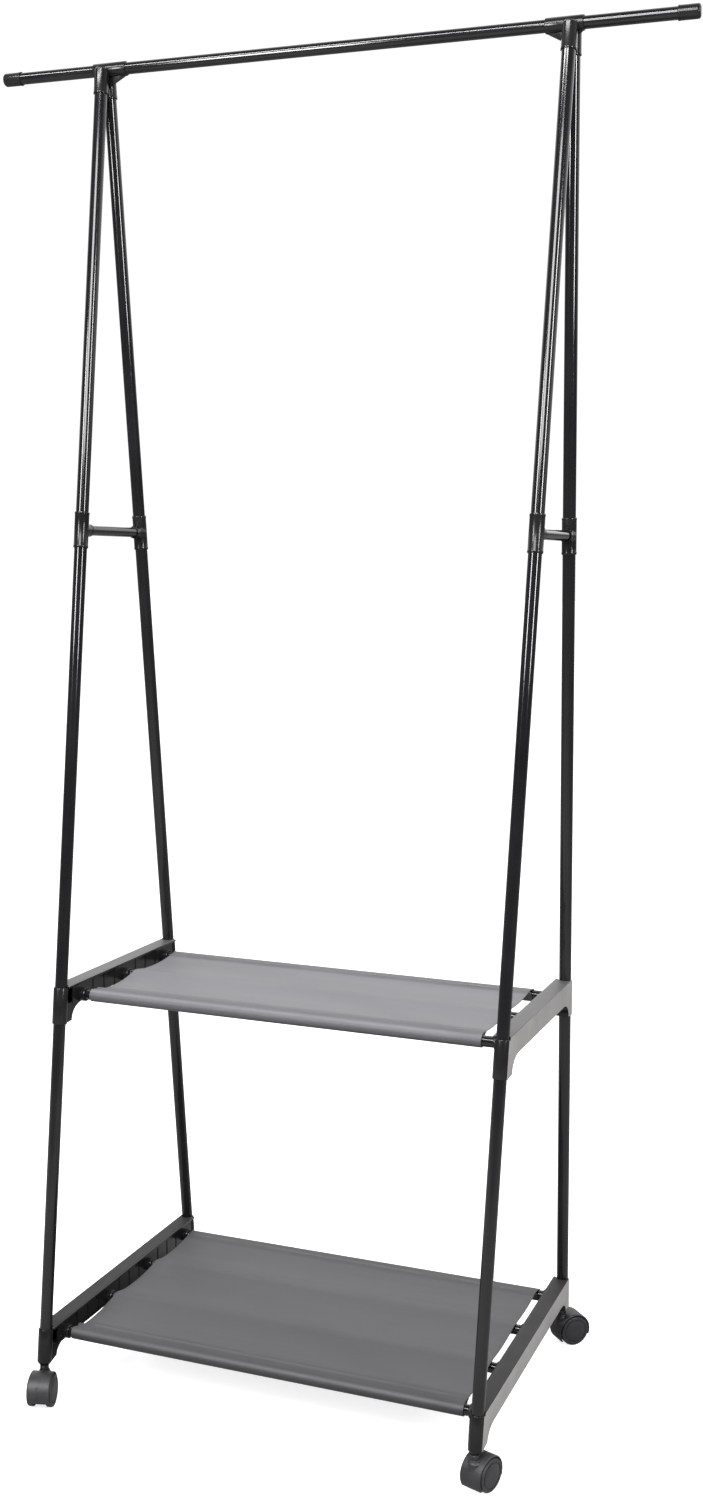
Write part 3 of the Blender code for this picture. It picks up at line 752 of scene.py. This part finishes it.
def side_rail(top, rods, is_low):
    """A ribbed rail with its leg sleeves, gussets, rod sockets and inner skirt. Heights count from the rail's
    top, and +X is the outer side. Its outer face is marked 1 and its top 2, for their finishes with painted
    reflection."""
    low = -RAIL_DEPTH
    sleeve_mid = -SLEEVE_DROP - SLEEVE_LENGTH / 2
    sleeve_end = -SLEEVE_DROP - SLEEVE_LENGTH
    cone_high = 0.0035
    foot = sleeve_end + 0.0020 + (cone_high if is_low else 0)
    arc = [(y, z - top) for y, z in hollow_edge(top + foot, top + low)]

    half_face = [(leg_y(top), 0), (leg_y(top + foot), foot - 0.0010), *arc]
    outline = half_face + [(-y, z) for y, z in reversed(half_face)]
    face = traced([(RAIL_OUT - RAIL_WALL, y, z) for y, z in outline], (RAIL_WALL, 0, 0))
    soften(face, 0.0006, 3)
    flange = slab((-RAIL_IN, -leg_y(top), -RAIL_WALL), (RAIL_OUT, leg_y(top), 0))
    soften(flange, 0.0006, 3)
    joined, cut = [flange], []
    behind_face = RAIL_OUT - RAIL_WALL / 2
    gusset_in = 0.0072

    half = SLEEVE_LENGTH / 2
    for end in ENDS.values():
        axis = shift(0, end * leg_y(top + sleeve_mid), sleeve_mid) @ leaning(end)
        rim = [(SLEEVE_R, half - 0.0008), (SLEEVE_R - 0.0002, half - 0.0003), (SLEEVE_R - 0.0006, half)]
        if is_low:
            cone_top = cone_high - half
            cone = [(0.0062, -half), (0.0064, -half + 0.0002), (SLEEVE_R - 0.0002, cone_top - 0.0003)]
            profile = [*cone, (SLEEVE_R, cone_top + 0.0003), *rim]
            floor = STEM_GRIP + 0.001 + 0.0025 - half
            stem = lathed_rod(STEM_R + FIT, sleeve_end - 0.02, sleeve_end + STEM_GRIP + 0.001, sides=32)
            cut.append(settle(stem, shift(0, end * STEM_Y, 0)))
        else:
            roll = [(SLEEVE_R - 0.0010, -half), (SLEEVE_R - 0.0002, -half + 0.0006)]
            profile = [*roll, (SLEEVE_R, -half + 0.0014), *rim]
            floor = -0.06
        joined.append(settle(lathed(profile, 56), axis))
        bore, mouth = LEG_R + FIT, LEG_R + FIT + MOUTH
        opening = [(bore, floor), (bore, half - 0.0005), (mouth, half), (mouth, 0.06)]
        cut.append(settle(lathed(opening, 56), axis))
        toe = foot - (0.0045 if is_low else 0.0012)
        gusset = [(leg_y(top + low), low + 0.004), (leg_y(top + toe), toe), *arc]
        gusset.append((arc[-1][0], low + 0.004))
        plate = [(-gusset_in, end * y, z) for y, z in gusset]
        joined.append(traced(plate, (behind_face + gusset_in, 0, 0)))

    socket_r, socket_in = 0.0085, 0.0175
    for y in rods:
        axis = shift(0, y, -ROD_DROP) @ ALONG_X
        rim = [(socket_r - 0.0005, -socket_in), (socket_r - 0.0001, -socket_in + 0.0004)]
        socket = [*rim, (socket_r, -socket_in + 0.0010), (socket_r, behind_face)]
        joined.append(settle(lathed(socket, 48), axis))
        bore, mouth, floor = ROD_R + FIT, 0.0073, RAIL_OUT - SOCKET_FLOOR
        opening = [(mouth, -0.05), (mouth, -socket_in), (bore, -socket_in + 0.0006), (bore, floor)]
        cut.append(settle(lathed(opening, 48), axis))
    step, rib_t, under_top = PITCH / 4, 0.0018, -RAIL_WALL / 2
    last = int(arc[-1][0] / step)
    for i in range(-last, last + 1):
        if all(abs(i * step - y) > socket_r for y in rods):
            near = (0.0005 - RAIL_IN, i * step - rib_t / 2, low + 0.0015)
            joined.append(slab(near, (behind_face, i * step + rib_t / 2, under_top)))
    skirt_in, skirt_t = 0.0107, 0.0014
    skirt_end, skirt_low = leg_y(top) - SLEEVE_R, low + (0.0010 if is_low else 0.0030)
    joined.append(slab((-skirt_in, -skirt_end, skirt_low), (skirt_t - skirt_in, skirt_end, under_top)))
    rail = smooth(mould(face, joined, cut))
    # the outer faces and the top get the finishes with painted reflection
    flat, skin = 0.95, 0.0004
    for polygon in rail.data.polygons:
        on_top = polygon.normal.z > flat and polygon.center.z > -skin
        outside = polygon.normal.x > flat and polygon.center.x > RAIL_OUT - skin
        polygon.material_index = 2 if on_top else int(outside)
    return rail


def make_side_rails():
    for level, (top, count) in LEVELS.items():
        is_low = level == "low"
        rail = side_rail(top, rod_places(count), is_low)
        flats = (outer_faces_painted_reflection, low_top_painted_reflection_and_shade if is_low else middle_top_painted_reflection)
        for side, sign in SIDES.items():
            spot = shift(sign * HALF, 0, top) @ turn(0 if sign > 0 else 180)
            fit(rail, f"{level}_side_moulding_{side}", spot, plastic, f"{level}_rail_{side}", flats=flats)
        put_away(rail)


# ---- casters --------------------------------------------------------------------------------------------
def around_axle(radius, start, stop, steps):
    """Points round the axle in the hood's plane, from the swivel side over the top to the trailing side."""
    turns = [start + (stop - start) * i / steps for i in range(steps + 1)]
    return [(TRAIL + radius * math.cos(a), AXLE_Z + radius * math.sin(a)) for a in turns]


def hood_section():
    """The cover's section as (across, radius) points: a wall with rounded shoulders."""
    w, r, t = HOOD_HALF_W, HOOD_R, HOOD_WALL
    shoulder = [(-w + 0.0003, r - 0.0006), (-w + 0.0009, r - 0.0001), (-w + 0.0016, r)]
    outside = [(-w, r - t), (-w, r - 0.0012), *shoulder]
    return outside + [(-x, y) for x, y in reversed(outside)]


def make_hood():
    """A twin-wheel hood: a cover that runs over the wheels, on a block with the stem's boss on top. The
    cover has a seam down its middle, and a small slot and ridge. It swivels about Z and trails along +X."""
    start, stop, steps = math.pi + math.radians(35), -math.radians(20), 60
    axle = shift(TRAIL, 0, AXLE_Z)
    clear_hands()
    bpy.ops.mesh.primitive_plane_add(size=0.01)
    cover = bpy.context.object
    open_up(cover)
    bpy.ops.mesh.merge(type="CENTER")
    spots = [
        Vector((TRAIL + r * math.cos(start), w, AXLE_Z + r * math.sin(start))) for w, r in hood_section()
    ]
    bpy.ops.transform.translate(value=spots[0])
    for near, far in zip(spots, spots[1:]):
        bpy.ops.mesh.extrude_region_move(TRANSFORM_OT_translate={"value": far - near})
    bpy.ops.mesh.select_all(action="SELECT")
    bpy.ops.mesh.edge_face_add()
    bpy.ops.mesh.spin(steps=steps, angle=stop - start, center=(TRAIL, 0, AXLE_Z), axis=(0, 1, 0))
    close_up(cover)

    sweep = around_axle(HOOD_R - HOOD_WALL / 2, start, stop, steps) + [(TRAIL, AXLE_Z)]
    core = traced([(x, -BLOCK_HALF_W, z) for x, z in sweep], (0, 2 * BLOCK_HALF_W, 0))
    disc_half = BLOCK_HALF_W - 0.0004
    disc = settle(lathed_rod(0.0160, -disc_half, disc_half, 0.0003, 56), axle @ ALONG_Y)
    boss_neck = [(0.0072, 0.0384), (0.0066, 0.0396), (0.0065, 0.0410), (0.0062, BOSS_TOP)]
    boss = lathed([(0.0082, 0.0260), (0.0082, 0.0372), *boss_neck], 48)
    ridge = slab((0, -0.0062, -0.0006), (0.0009, -0.0012, 0.0006))
    settle(ridge, axle @ turn(5, "Y") @ shift(HOOD_R - 0.0003, 0, 0))
    axle_bore = settle(lathed_rod(0.0023, -0.05, 0.05, sides=24), axle @ ALONG_Y)
    stem_bore = lathed_rod(STEM_R + FIT, 0.0252, 0.1, sides=32)
    slot = slab((-0.0012, -0.0028, -0.0018), (0.003, -0.0003, 0.0018))
    settle(slot, axle @ turn(-28, "Y") @ shift(HOOD_R, 0, 0))
    seam_low, seam_high, seam_t = math.radians(-19), math.radians(62), 0.0004
    seam = around_axle(HOOD_R + 0.002, seam_high, seam_low, 40)
    seam += around_axle(HOOD_R - 0.00035, seam_low, seam_high, 40)
    seam_cut = traced([(x, -seam_t / 2, z) for x, z in seam], (0, seam_t, 0))
    hood = mould(cover, [core, disc, boss, ridge], [axle_bore, stem_bore, slot, seam_cut])
    return smooth(hood)


def make_wheel():
    """A wheel with rounded shoulders. Its outer face, at +Z here, has a shallow disc inside a ring groove."""
    r, t = WHEEL_R, WHEEL_T
    profile = [
        (0.0023, 0.0054),
        (0.0023, 0.0003),
        (0.0026, 0.0),
        (r - 0.0010, 0.0),
        (r - 0.0003, 0.0003),
        (r, 0.0012),
        (r, t - 0.0014),
        (r - 0.0003, t - 0.0005),
        (r - 0.0010, t),
        (0.0163, t),
        (0.0160, t - 0.0002),
        (0.0158, t - 0.0009),
        (0.0147, t - 0.0009),
        (0.0145, t - 0.0002),
        (0.0141, t),
        (0.0060, t + 0.00005),
    ]
    wheel = lathed(profile, 72)
    return smooth(settle(wheel, ALONG_Y))


def make_casters():
    """Four twin-wheel casters on stems with a washer and a snap ring, each trailing its own way."""
    hood, wheel = make_hood(), make_wheel()
    axle = smooth(settle(lathed_rod(0.0020, -0.0124, 0.0124, 0.0003, 24), ALONG_Y))
    stem = smooth(lathed(
        [
            (0.0036, 0.0262),
            (0.0040, 0.0266),
            (0.0040, BOSS_TOP + 0.0004),
            (0.0053, BOSS_TOP + 0.0004),
            (0.0055, BOSS_TOP + 0.0006),
            (0.0055, 0.0466),
            (0.0053, 0.0468),
            (0.0040, 0.0468),
            (0.0040, LOW_SLEEVE_END + 0.0150),
            (0.0036, LOW_SLEEVE_END + 0.0154),
            (0.0036, LOW_SLEEVE_END + 0.0166),
            (0.0040, LOW_SLEEVE_END + 0.0170),
            (0.0040, LOW_SLEEVE_END + 0.0185),
            (0.0034, LOW_SLEEVE_END + STEM_GRIP),
        ],
        40,
    ))
    inner = BLOCK_HALF_W + 0.0005
    for end, front in ENDS.items():
        for side, sign in SIDES.items():
            place = f"{end}_{side}"
            swivel = shift(sign * HALF, front * STEM_Y, 0)
            heading = swivel @ turn(HEADINGS[place])
            fit(stem, f"caster_pin_{place}", swivel, steel, f"caster_stem_{place}")
            body = f"caster_{place}"
            fit(hood, f"caster_cover_{place}", heading, hood_finish, f"caster_hood_{place}", body)
            spot = heading @ shift(TRAIL, 0, AXLE_Z)
            fit(axle, f"wheel_axle_{place}", spot, steel, f"caster_axle_{place}", body)
            for letter, way in (("a", 1), ("b", -1)):
                spot = heading @ shift(TRAIL, way * inner, AXLE_Z) @ turn(0 if way > 0 else 180)
                node, body = f"caster_wheel_{letter}_{place}", f"wheel_{letter}_{place}"
                fit(wheel, f"roller_{letter}_{place}", spot, wheel_finish, node, body)
    put_away(hood, wheel, axle, stem)


# ---- fabric shelves -------------------------------------------------------------------------------------
def flap_section(sign, rod_y, deck_z, rod_z):
    """From the sewn flap under the deck round one outer rod to its top, as (y, z) points."""
    under = deck_z - CLOTH_T - 0.0004
    points = [(rod_y - sign * reach, under) for reach in (HEM, HEM - 0.0025, HEM - 0.005)]
    start, stop, steps = math.radians(-40), math.radians(-270), 26
    for i in range(steps + 1):
        a = start + (stop - start) * i / steps
        points.append((rod_y - sign * SLEEVE_MID_R * math.cos(a), rod_z + SLEEVE_MID_R * math.sin(a)))
    return points


def edge_bite(side, bay, t, slack):
    """How far the cloth's side edge pulls in, t of the way through a bay from front to rear. It pulls in
    most on the left, behind the front rod. slack is how loose the cloth is."""
    near_rod = 0.07
    ease = min(1.0, t / near_rod, (1 - t) / near_rod)
    if side < 0:
        depth = 0.0135 * (1 - t) + 0.001 if bay == 0 else 0.005 * (1 - t) + 0.0025
    else:
        depth = 0.0012 if bay == 0 else 0.0022
    return ease * depth * slack


def cloth_rows(rods, deck_z, rod_z):
    """The cloth's rows from its front cut end to its rear one, as (y, z, None) round the outer rods and
    (y, z, (bay, share of the bay)) on the deck."""
    front = flap_section(-1, rods[0], deck_z, rod_z)
    rows = [(y, z, None) for y, z in front]
    steps, last = 22, len(rods) - 2
    for bay, (near, far) in enumerate(zip(rods, rods[1:])):
        for i in range(1, steps + (bay < last)):
            rows.append((near + (far - near) * i / steps, deck_z, (bay, i / steps)))
    return rows + [(-y, z, None) for y, z in reversed(front)]


def both_bites(bay, slack):
    return sum(edge_bite(side, *bay, slack) for side in (-1, 1)) if bay else 0


def lay_cloth(name, rows, columns, width, offset, slack):
    """The cloth's middle surface, with its flat cut as UVs in metres, and each row's place along the cut."""
    bm = bmesh.new()
    uv = bm.loops.layers.uv.new("cut")
    grid, lengths, along = [], [], 0.0
    for n, (y, z, bay) in enumerate(rows):
        if n:
            along += math.hypot(y - rows[n - 1][0], z - rows[n - 1][1])
        lengths.append(along)
        left = right = width / 2
        if bay:
            left -= edge_bite(-1, *bay, slack)
            right -= edge_bite(1, *bay, slack)
        line = []
        for c in range(columns + 1):
            u = c / columns
            x = offset - left + (left + right) * u
            ripple = 0.0
            if bay:
                ripple = 0.0004 * math.sin(9.0 * u + 3.1 * bay[0]) * math.sin(math.pi * bay[1])
                ripple += 0.0002 * math.sin(23.0 * u + 11.0 * bay[1])
            line.append(bm.verts.new((x, y, z + ripple)))
        grid.append(line)
    for n in range(len(rows) - 1):
        for c in range(columns):
            made = bm.faces.new((grid[n][c], grid[n][c + 1], grid[n + 1][c + 1], grid[n + 1][c]))
            for loop, (cc, nn) in zip(made.loops, ((c, n), (c + 1, n), (c + 1, n + 1), (c, n + 1))):
                loop[uv].uv = (width * cc / columns, lengths[nn])
    bmesh.ops.recalc_face_normals(bm, faces=bm.faces)
    mesh = bpy.data.meshes.new(name)
    bm.to_mesh(mesh)
    bm.free()
    cloth = bpy.data.objects.new(name, mesh)
    bpy.context.scene.collection.objects.link(cloth)
    return cloth, lengths


def make_shelf(level, width, offset, slack, finish):
    """One length of cloth, sewn round the outer rods and stretched over them all, then let sag a little."""
    top, count = LEVELS[level]
    rods = rod_places(count)
    rod_z = top - ROD_DROP
    deck_z = rod_z + SLEEVE_MID_R
    rows, columns = cloth_rows(rods, deck_z, rod_z), 84
    cloth, lengths = lay_cloth(f"{level}_shelf_cloth", rows, columns, width, offset, slack)

    held = cloth.vertex_groups.new(name="held")
    per_row, rod_touch = columns + 1, 0.0055
    for n, (y, z, bay) in enumerate(rows):
        on_rod = bay is None or min(abs(y - r) for r in rods) < rod_touch
        near_seam = bay is not None and min(abs(y - rods[0]), abs(y - rods[-1])) < HEM
        if on_rod or near_seam:
            held.add(list(range(n * per_row, (n + 1) * per_row)), 1.0, "REPLACE")
    sag(cloth)

    take(cloth)
    finer = cloth.modifiers.new("subdivide", "SUBSURF")
    finer.levels = finer.render_levels = 1
    finer.boundary_smooth = "PRESERVE_CORNERS"
    wall = cloth.modifiers.new("thicken", "SOLIDIFY")
    wall.thickness = CLOTH_T
    wall.offset = 0
    apply_all(cloth)
    smooth(cloth)
    cloth.data.materials.append(finish["look"])
    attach(cloth, "root")
    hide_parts(f"{level}_shelf_fabric")

    seams, seam_length = [], width - 0.048
    for place, rod_y, way in (("front", rods[0], 1), ("rear", rods[-1], -1)):
        for k, reach in enumerate((HEM - 0.0045, HEM - 0.0015)):
            y, z = rod_y + way * reach, deck_z + CLOTH_T / 2
            seams.append(sewn_line(f"{level}_{place}_seam_{k + 1}", seam_length, offset, y, z))
    area = sum(
        (far - near) * (width - both_bites(bay, slack))
        for near, far, (y, z, bay) in zip(lengths, lengths[1:], rows)
    )
    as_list(seams)


def sag(cloth):
    """Lets the cloth hang between its held rows, and keeps what it comes to."""
    take(cloth)
    scene = bpy.context.scene
    frames = 30
    cloth_modifier = cloth.modifiers.new("sag", "CLOTH")
    settings = cloth_modifier.settings
    settings.quality = 6
    settings.mass = 0.15
    settings.tension_stiffness = settings.compression_stiffness = 45
    settings.shear_stiffness = 8
    settings.bending_stiffness = 0.35
    settings.tension_damping = settings.compression_damping = 8
    settings.air_damping = 2
    settings.vertex_group_mass = "held"
    settings.shrink_min = -0.0005
    cloth_modifier.collision_settings.use_collision = False
    cloth_modifier.collision_settings.use_self_collision = False
    cloth_modifier.point_cache.frame_start = 1
    cloth_modifier.point_cache.frame_end = frames
    scene.frame_start, scene.frame_end = 1, frames
    for number in range(1, frames + 1):
        scene.frame_set(number)
    apply_all(cloth)
    scene.frame_set(1)


def sewn_line(name, length, middle, y, z):
    """A row of stitches along X, one modelled and the rest an array of it."""
    pitch, long, thread_r = 0.0032, 0.0024, 0.00022
    stitch = slab((-long / 2, -thread_r, -0.00025), (long / 2, thread_r, thread_r))
    open_up(stitch)
    bpy.ops.mesh.subdivide(number_cuts=1)
    bpy.ops.object.mode_set(mode="OBJECT")
    for vertex in stitch.data.vertices:
        end = abs(vertex.co.x) / (long / 2)
        vertex.co.z -= thread_r * end * end
        vertex.co.y *= 1 - 0.5 * end
    count = int(length / pitch)
    array = stitch.modifiers.new("row", "ARRAY")
    array.use_relative_offset = False
    array.use_constant_offset = True
    array.constant_offset_displace = (pitch, 0, 0)
    array.count = count
    apply_all(stitch)
    settle(stitch, shift(middle - (count - 1) * pitch / 2, y, z))
    smooth(stitch)
    stitch.name = name
    stitch.data.name = name
    stitch.data.materials.append(thread_finish["look"])
    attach(stitch, "root")
    return stitch


# ---- the studio -----------------------------------------------------------------------------------------
def make_floor():
    """A pale floor, bright to the eye, that throws only a little light back up at the rack."""
    clear_hands()
    bpy.ops.mesh.primitive_grid_add(x_subdivisions=8, y_subdivisions=8, size=90, location=(0, 0, -0.0002))
    floor = bpy.context.object
    floor.name = "studio_floor"
    b = Bench("pale_floor")
    soft = b.noise(b.stretched((1, 1, 1)), 3, 2)
    b.colour(b.tones(soft, (0.2, (0.50, 0.50, 0.50)), (0.8, (0.52, 0.52, 0.52))))
    b.shader.inputs["Roughness"].default_value = 0.9
    b.shader.inputs["Specular IOR Level"].default_value = 0.1
    b.shader.inputs["Emission Color"].default_value = (1, 1, 1, 1)
    b.shader.inputs["Emission Strength"].default_value = 0.80
    dull = b.tree.nodes.new("ShaderNodeBsdfDiffuse")
    dull.inputs["Color"].default_value = (0.33, 0.33, 0.33, 1)
    path = b.tree.nodes.new("ShaderNodeLightPath")
    mix = b.tree.nodes.new("ShaderNodeMixShader")
    b.link(path.outputs["Is Camera Ray"], mix.inputs["Fac"])
    b.link(dull.outputs["BSDF"], mix.inputs[1])
    b.link(b.shader.outputs["BSDF"], mix.inputs[2])
    b.link(mix.outputs["Shader"], b.tree.nodes["Material Output"].inputs["Surface"])
    floor.data.materials.append(b.look)


def make_sky():
    """White to the eye. For light and reflections it is bright high up behind the rack and dim elsewhere."""
    world = bpy.data.worlds.new("studio")
    bpy.context.scene.world = world
    world.use_nodes = True
    nodes, links = world.node_tree.nodes, world.node_tree.links
    nodes.clear()
    place = nodes.new("ShaderNodeTexCoord")
    split = nodes.new("ShaderNodeSeparateXYZ")
    links.new(place.outputs["Generated"], split.inputs["Vector"])
    shares = []
    for axis, start, stop in (("Y", -0.25, 0.45), ("Z", 0.02, 0.22)):
        share = nodes.new("ShaderNodeMapRange")
        share.interpolation_type = "SMOOTHSTEP"
        share.inputs["From Min"].default_value = start
        share.inputs["From Max"].default_value = stop
        links.new(split.outputs[axis], share.inputs["Value"])
        shares.append(share.outputs["Result"])
    both = nodes.new("ShaderNodeMath")
    both.operation = "MULTIPLY"
    links.new(shares[0], both.inputs[0])
    links.new(shares[1], both.inputs[1])
    bright, dim = 1.85, 0.16
    level = nodes.new("ShaderNodeMath")
    level.operation = "MULTIPLY_ADD"
    level.inputs[1].default_value = bright
    level.inputs[2].default_value = dim
    links.new(both.outputs["Value"], level.inputs[0])
    room = nodes.new("ShaderNodeBackground")
    room.inputs["Color"].default_value = (1, 1, 1, 1)
    links.new(level.outputs["Value"], room.inputs["Strength"])
    seen = nodes.new("ShaderNodeBackground")
    seen.inputs["Color"].default_value = (1, 1, 1, 1)
    seen.inputs["Strength"].default_value = 1.05
    path = nodes.new("ShaderNodeLightPath")
    mix = nodes.new("ShaderNodeMixShader")
    links.new(path.outputs["Is Camera Ray"], mix.inputs["Fac"])
    links.new(room.outputs["Background"], mix.inputs[1])
    links.new(seen.outputs["Background"], mix.inputs[2])
    out = nodes.new("ShaderNodeOutputWorld")
    links.new(mix.outputs["Shader"], out.inputs["Surface"])


def softbox(name, spot, aim, wide, high, power):
    lamp = bpy.data.lights.new(name, "AREA")
    lamp.shape = "RECTANGLE"
    lamp.size, lamp.size_y = wide, high
    lamp.energy = power
    obj = bpy.data.objects.new(name, lamp)
    bpy.context.scene.collection.objects.link(obj)
    obj.location = spot
    obj.rotation_euler = (Vector(aim) - Vector(spot)).to_track_quat("-Z", "Y").to_euler()
    obj.visible_camera = False


def make_lights():
    """Two narrow lights for the long highlights down the legs, a broad one and a long one over the bar."""
    softbox("left_softbox", (-1.05, -2.35, 1.75), (0, 0, 1.3), 0.45, 0.80, 62)
    softbox("right_softbox", (2.35, -1.10, 1.72), (0, 0, 1.3), 0.35, 1.10, 70)
    softbox("front_softbox", (0.25, -2.25, 2.20), (0, 0, 1.3), 1.30, 0.75, 75)
    softbox("bar_softbox", (-0.65, -2.30, 3.10), (-0.1, 0, 1.5), 2.90, 0.22, 150)


def make_camera():
    """At the height of the rack's middle, to the right of it, looking a little down."""
    lens = bpy.data.cameras.new("view")
    lens.sensor_width = 36.0
    lens.lens = 40.246
    lens.shift_x, lens.shift_y = -0.0013, 0.1004
    eye = bpy.data.objects.new("view", lens)
    bpy.context.scene.collection.objects.link(eye)
    yaw, pitch, roll = (math.radians(a) for a in (20.78, 11.41, 0.814))
    ahead = Vector((-math.sin(yaw) * math.cos(pitch), math.cos(yaw) * math.cos(pitch), -math.sin(pitch)))
    right = Vector((math.cos(yaw), math.sin(yaw), 0))
    up = right.cross(ahead)
    across = math.cos(roll) * right + math.sin(roll) * up
    above = math.cos(roll) * up - math.sin(roll) * right
    stand = (0.7502, -1.8553, 1.0255)
    rows = [[across[i], above[i], -ahead[i], stand[i]] for i in range(3)]
    eye.matrix_world = Matrix([*rows, [0, 0, 0, 1]])
    bpy.context.scene.camera = eye


make_camera()
make_bar()
make_bar_plugs()
make_top_connectors()
make_legs()
make_tees()
make_cross_tubes()
make_side_rails()
make_shelf_rods()
make_shelf("middle", width=0.498, offset=-0.0035, slack=1.0, finish=upper_cloth)
make_shelf("low", width=0.509, offset=-0.0010, slack=0.62, finish=painted_shade_cloth_copy)
make_casters()
make_floor()
make_sky()
make_lights()
bpy.context.scene.view_settings.view_transform = "Standard"

clear_hands()
